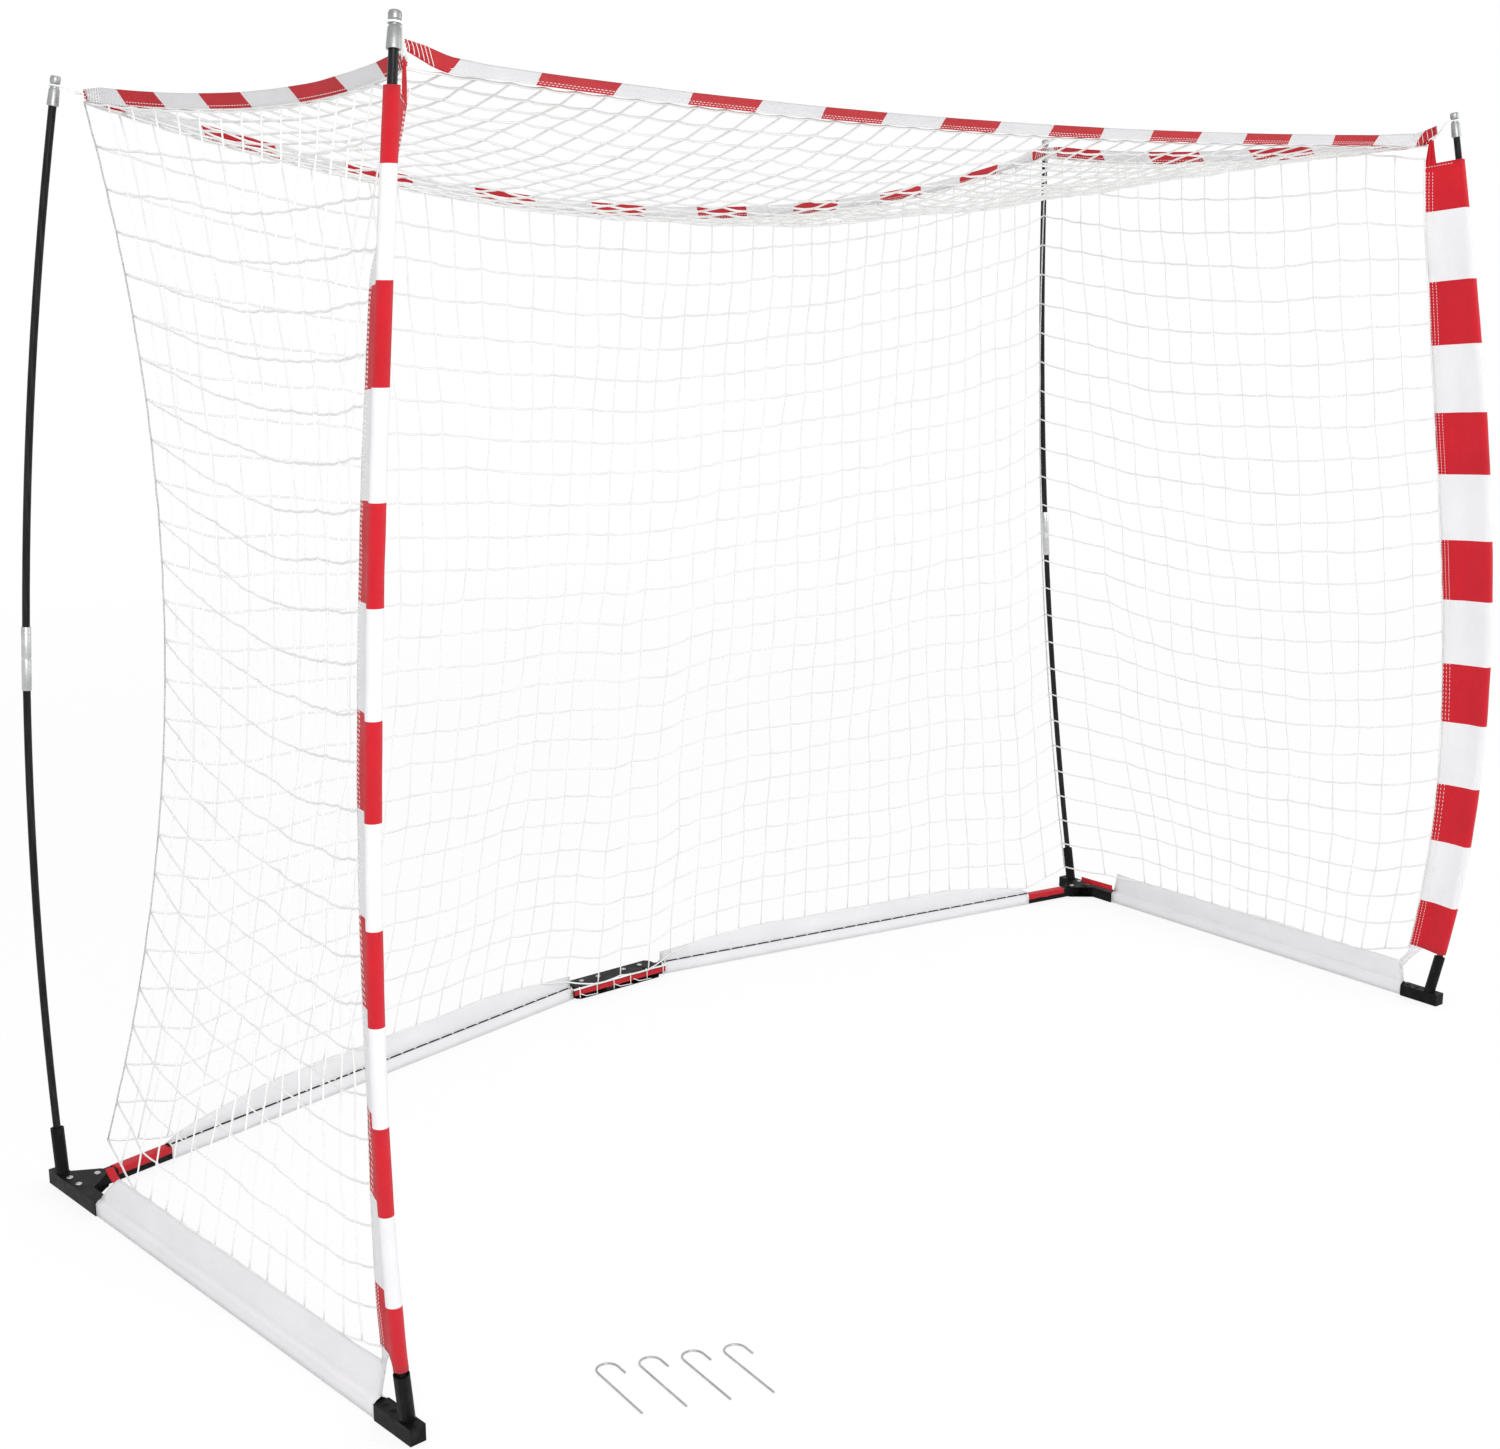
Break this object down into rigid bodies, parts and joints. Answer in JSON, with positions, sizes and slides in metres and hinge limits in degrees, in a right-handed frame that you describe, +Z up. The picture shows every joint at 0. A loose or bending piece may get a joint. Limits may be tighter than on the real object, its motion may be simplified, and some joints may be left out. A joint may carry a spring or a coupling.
{
  "type": "handball goal",
  "caption": "Portable handball goal with a folding steel base, bowed sectional poles, striped sleeves and tapes and a white net.",
  "frame": {"origin": "on the floor under the middle of the bounding box", "axes": "+X across the goal to the right seen from the field, +Y back into the net, +Z up"},
  "size_m": [3.1528, 1.7792, 2.1752],
  "materials": {
    "black_steel": "black powder coat, satin",
    "bright_tube": "zinc plated tube",
    "bright_cap": "turned, satin",
    "fibreglass_rod": "black glass fibre rod, smooth",
    "peg_wire": "zinc plated wire",
    "striped_sleeve": "coated cloth in red and white bands",
    "striped_tape": "woven tape in red and white blocks",
    "white_skirt": "white coated cloth",
    "red_hem": "red coated cloth",
    "net_twine": "knotted white twine",
    "white_cord": "braided white cord"
  },
  "bodies": {
    "centre_hinge": {"back_net_left": "net_twine", "back_net_right": "net_twine", "front_left_tie": "white_cord", "front_right_tie": "white_cord", "front_top_tape": "striped_tape", "ground_peg_1": "peg_wire", "ground_peg_2": "peg_wire", "ground_peg_3": "peg_wire", "ground_peg_4": "peg_wire", "left_side_net": "net_twine", "left_top_tape": "striped_tape", "middle_hem": "red_hem", "middle_hinge_bottom_plate": "black_steel", "middle_hinge_top_plate": "black_steel", "rear_left_tie": "white_cord", "rear_right_tie": "white_cord", "rear_top_tape": "striped_tape", "right_side_net": "net_twine", "right_top_tape": "striped_tape", "top_net": "net_twine"},
    "left_rear_half": {"left_rear_bar": "black_steel", "left_rear_skirt": "white_skirt", "left_corner_hem": "red_hem"},
    "left_side_arm": {"left_side_bar": "black_steel", "left_side_skirt": "white_skirt", "left_rear_bracket": "black_steel", "left_front_bracket": "black_steel", "front_left_socket": "black_steel", "rear_left_socket": "black_steel"},
    "front_left_pole": {"front_left_pole_lower": "fibreglass_rod", "front_left_ferrule": "bright_tube", "left_post_sleeve": "striped_sleeve"},
    "front_left_pole_top": {"front_left_pole_upper": "fibreglass_rod", "front_left_cap": "bright_cap"},
    "rear_left_pole": {"rear_left_pole_lower": "fibreglass_rod", "rear_left_ferrule": "bright_tube"},
    "rear_left_pole_top": {"rear_left_pole_upper": "fibreglass_rod", "rear_left_cap": "bright_cap"},
    "right_rear_half": {"right_rear_bar": "black_steel", "right_rear_skirt": "white_skirt", "right_corner_hem": "red_hem"},
    "right_side_arm": {"right_side_bar": "black_steel", "right_side_skirt": "white_skirt", "right_rear_bracket": "black_steel", "right_front_bracket": "black_steel", "front_right_socket": "black_steel", "rear_right_socket": "black_steel"},
    "front_right_pole": {"front_right_pole_lower": "fibreglass_rod", "front_right_ferrule": "bright_tube", "right_post_sleeve": "striped_sleeve"},
    "front_right_pole_top": {"front_right_pole_upper": "fibreglass_rod", "front_right_cap": "bright_cap"},
    "rear_right_pole": {"rear_right_pole_lower": "fibreglass_rod", "rear_right_ferrule": "bright_tube"},
    "rear_right_pole_top": {"rear_right_pole_upper": "fibreglass_rod", "rear_right_cap": "bright_cap"}
  },
  "joints": [
    {"name": "left_bar_fold", "type": "hinge", "parent": "centre_hinge", "child": "left_rear_half", "pos_m": [-0.0415, 0.86757, 0], "axis": [0, 0, -1], "range_deg": [0, 95], "deforming": ["back_net_left", "left_side_net", "top_net", "left_top_tape", "front_top_tape", "rear_top_tape", "front_left_tie", "rear_left_tie", "middle_hem"]},
    {"name": "left_arm_fold", "type": "hinge", "parent": "left_rear_half", "child": "left_side_arm", "pos_m": [-1.50754, 0.58805, 0], "axis": [0, 0, 1], "range_deg": [0, 95], "deforming": ["back_net_left", "left_side_net", "top_net", "left_top_tape", "front_top_tape", "rear_top_tape", "front_left_tie", "rear_left_tie", "middle_hem"]},
    {"name": "front_left_pole_slide", "type": "slide", "parent": "left_side_arm", "child": "front_left_pole", "axis": [-0.157, -0.1383, 0.9779], "range_m": [0, 0.09], "deforming": ["front_left_tie", "left_side_net", "top_net", "left_top_tape", "front_top_tape"]},
    {"name": "front_left_pole_join", "type": "slide", "parent": "front_left_pole", "child": "front_left_pole_top", "axis": [0.0723, 0.0417, 0.9965], "range_m": [0, 0.063], "deforming": ["front_left_tie", "left_side_net", "top_net", "left_top_tape", "front_top_tape", "left_post_sleeve"]},
    {"name": "rear_left_pole_slide", "type": "slide", "parent": "left_side_arm", "child": "rear_left_pole", "axis": [0.0183, 0.1614, 0.9867], "range_m": [0, 0.09], "deforming": ["rear_left_tie", "left_side_net", "top_net", "left_top_tape", "rear_top_tape", "back_net_left"]},
    {"name": "rear_left_pole_join", "type": "slide", "parent": "rear_left_pole", "child": "rear_left_pole_top", "axis": [0.0772, 0.0231, 0.9967], "range_m": [0, 0.063], "deforming": ["rear_left_tie", "left_side_net", "top_net", "left_top_tape", "rear_top_tape", "back_net_left"]},
    {"name": "right_bar_fold", "type": "hinge", "parent": "centre_hinge", "child": "right_rear_half", "pos_m": [0.0415, 0.86757, 0], "axis": [0, 0, 1], "range_deg": [0, 95], "deforming": ["back_net_right", "right_side_net", "top_net", "right_top_tape", "front_top_tape", "rear_top_tape", "front_right_tie", "rear_right_tie", "middle_hem"]},
    {"name": "right_arm_fold", "type": "hinge", "parent": "right_rear_half", "child": "right_side_arm", "pos_m": [1.50754, 0.58805, 0], "axis": [0, 0, -1], "range_deg": [0, 95], "deforming": ["back_net_right", "right_side_net", "top_net", "right_top_tape", "front_top_tape", "rear_top_tape", "front_right_tie", "rear_right_tie", "middle_hem"]},
    {"name": "front_right_pole_slide", "type": "slide", "parent": "right_side_arm", "child": "front_right_pole", "axis": [0.157, -0.1383, 0.9779], "range_m": [0, 0.09], "deforming": ["front_right_tie", "right_side_net", "top_net", "right_top_tape", "front_top_tape"]},
    {"name": "front_right_pole_join", "type": "slide", "parent": "front_right_pole", "child": "front_right_pole_top", "axis": [-0.0723, 0.0417, 0.9965], "range_m": [0, 0.063], "deforming": ["front_right_tie", "right_side_net", "top_net", "right_top_tape", "front_top_tape", "right_post_sleeve"]},
    {"name": "rear_right_pole_slide", "type": "slide", "parent": "right_side_arm", "child": "rear_right_pole", "axis": [-0.0183, 0.1614, 0.9867], "range_m": [0, 0.09], "deforming": ["rear_right_tie", "right_side_net", "top_net", "right_top_tape", "rear_top_tape", "back_net_right"]},
    {"name": "rear_right_pole_join", "type": "slide", "parent": "rear_right_pole", "child": "rear_right_pole_top", "axis": [-0.0772, 0.0231, 0.9967], "range_m": [0, 0.063], "deforming": ["rear_right_tie", "right_side_net", "top_net", "right_top_tape", "rear_top_tape", "back_net_right"]}
  ],
  "couplings": [
    {"joint": "left_arm_fold", "follows": "left_bar_fold", "ratio": 1},
    {"joint": "right_arm_fold", "follows": "right_bar_fold", "ratio": 1}
  ]
}
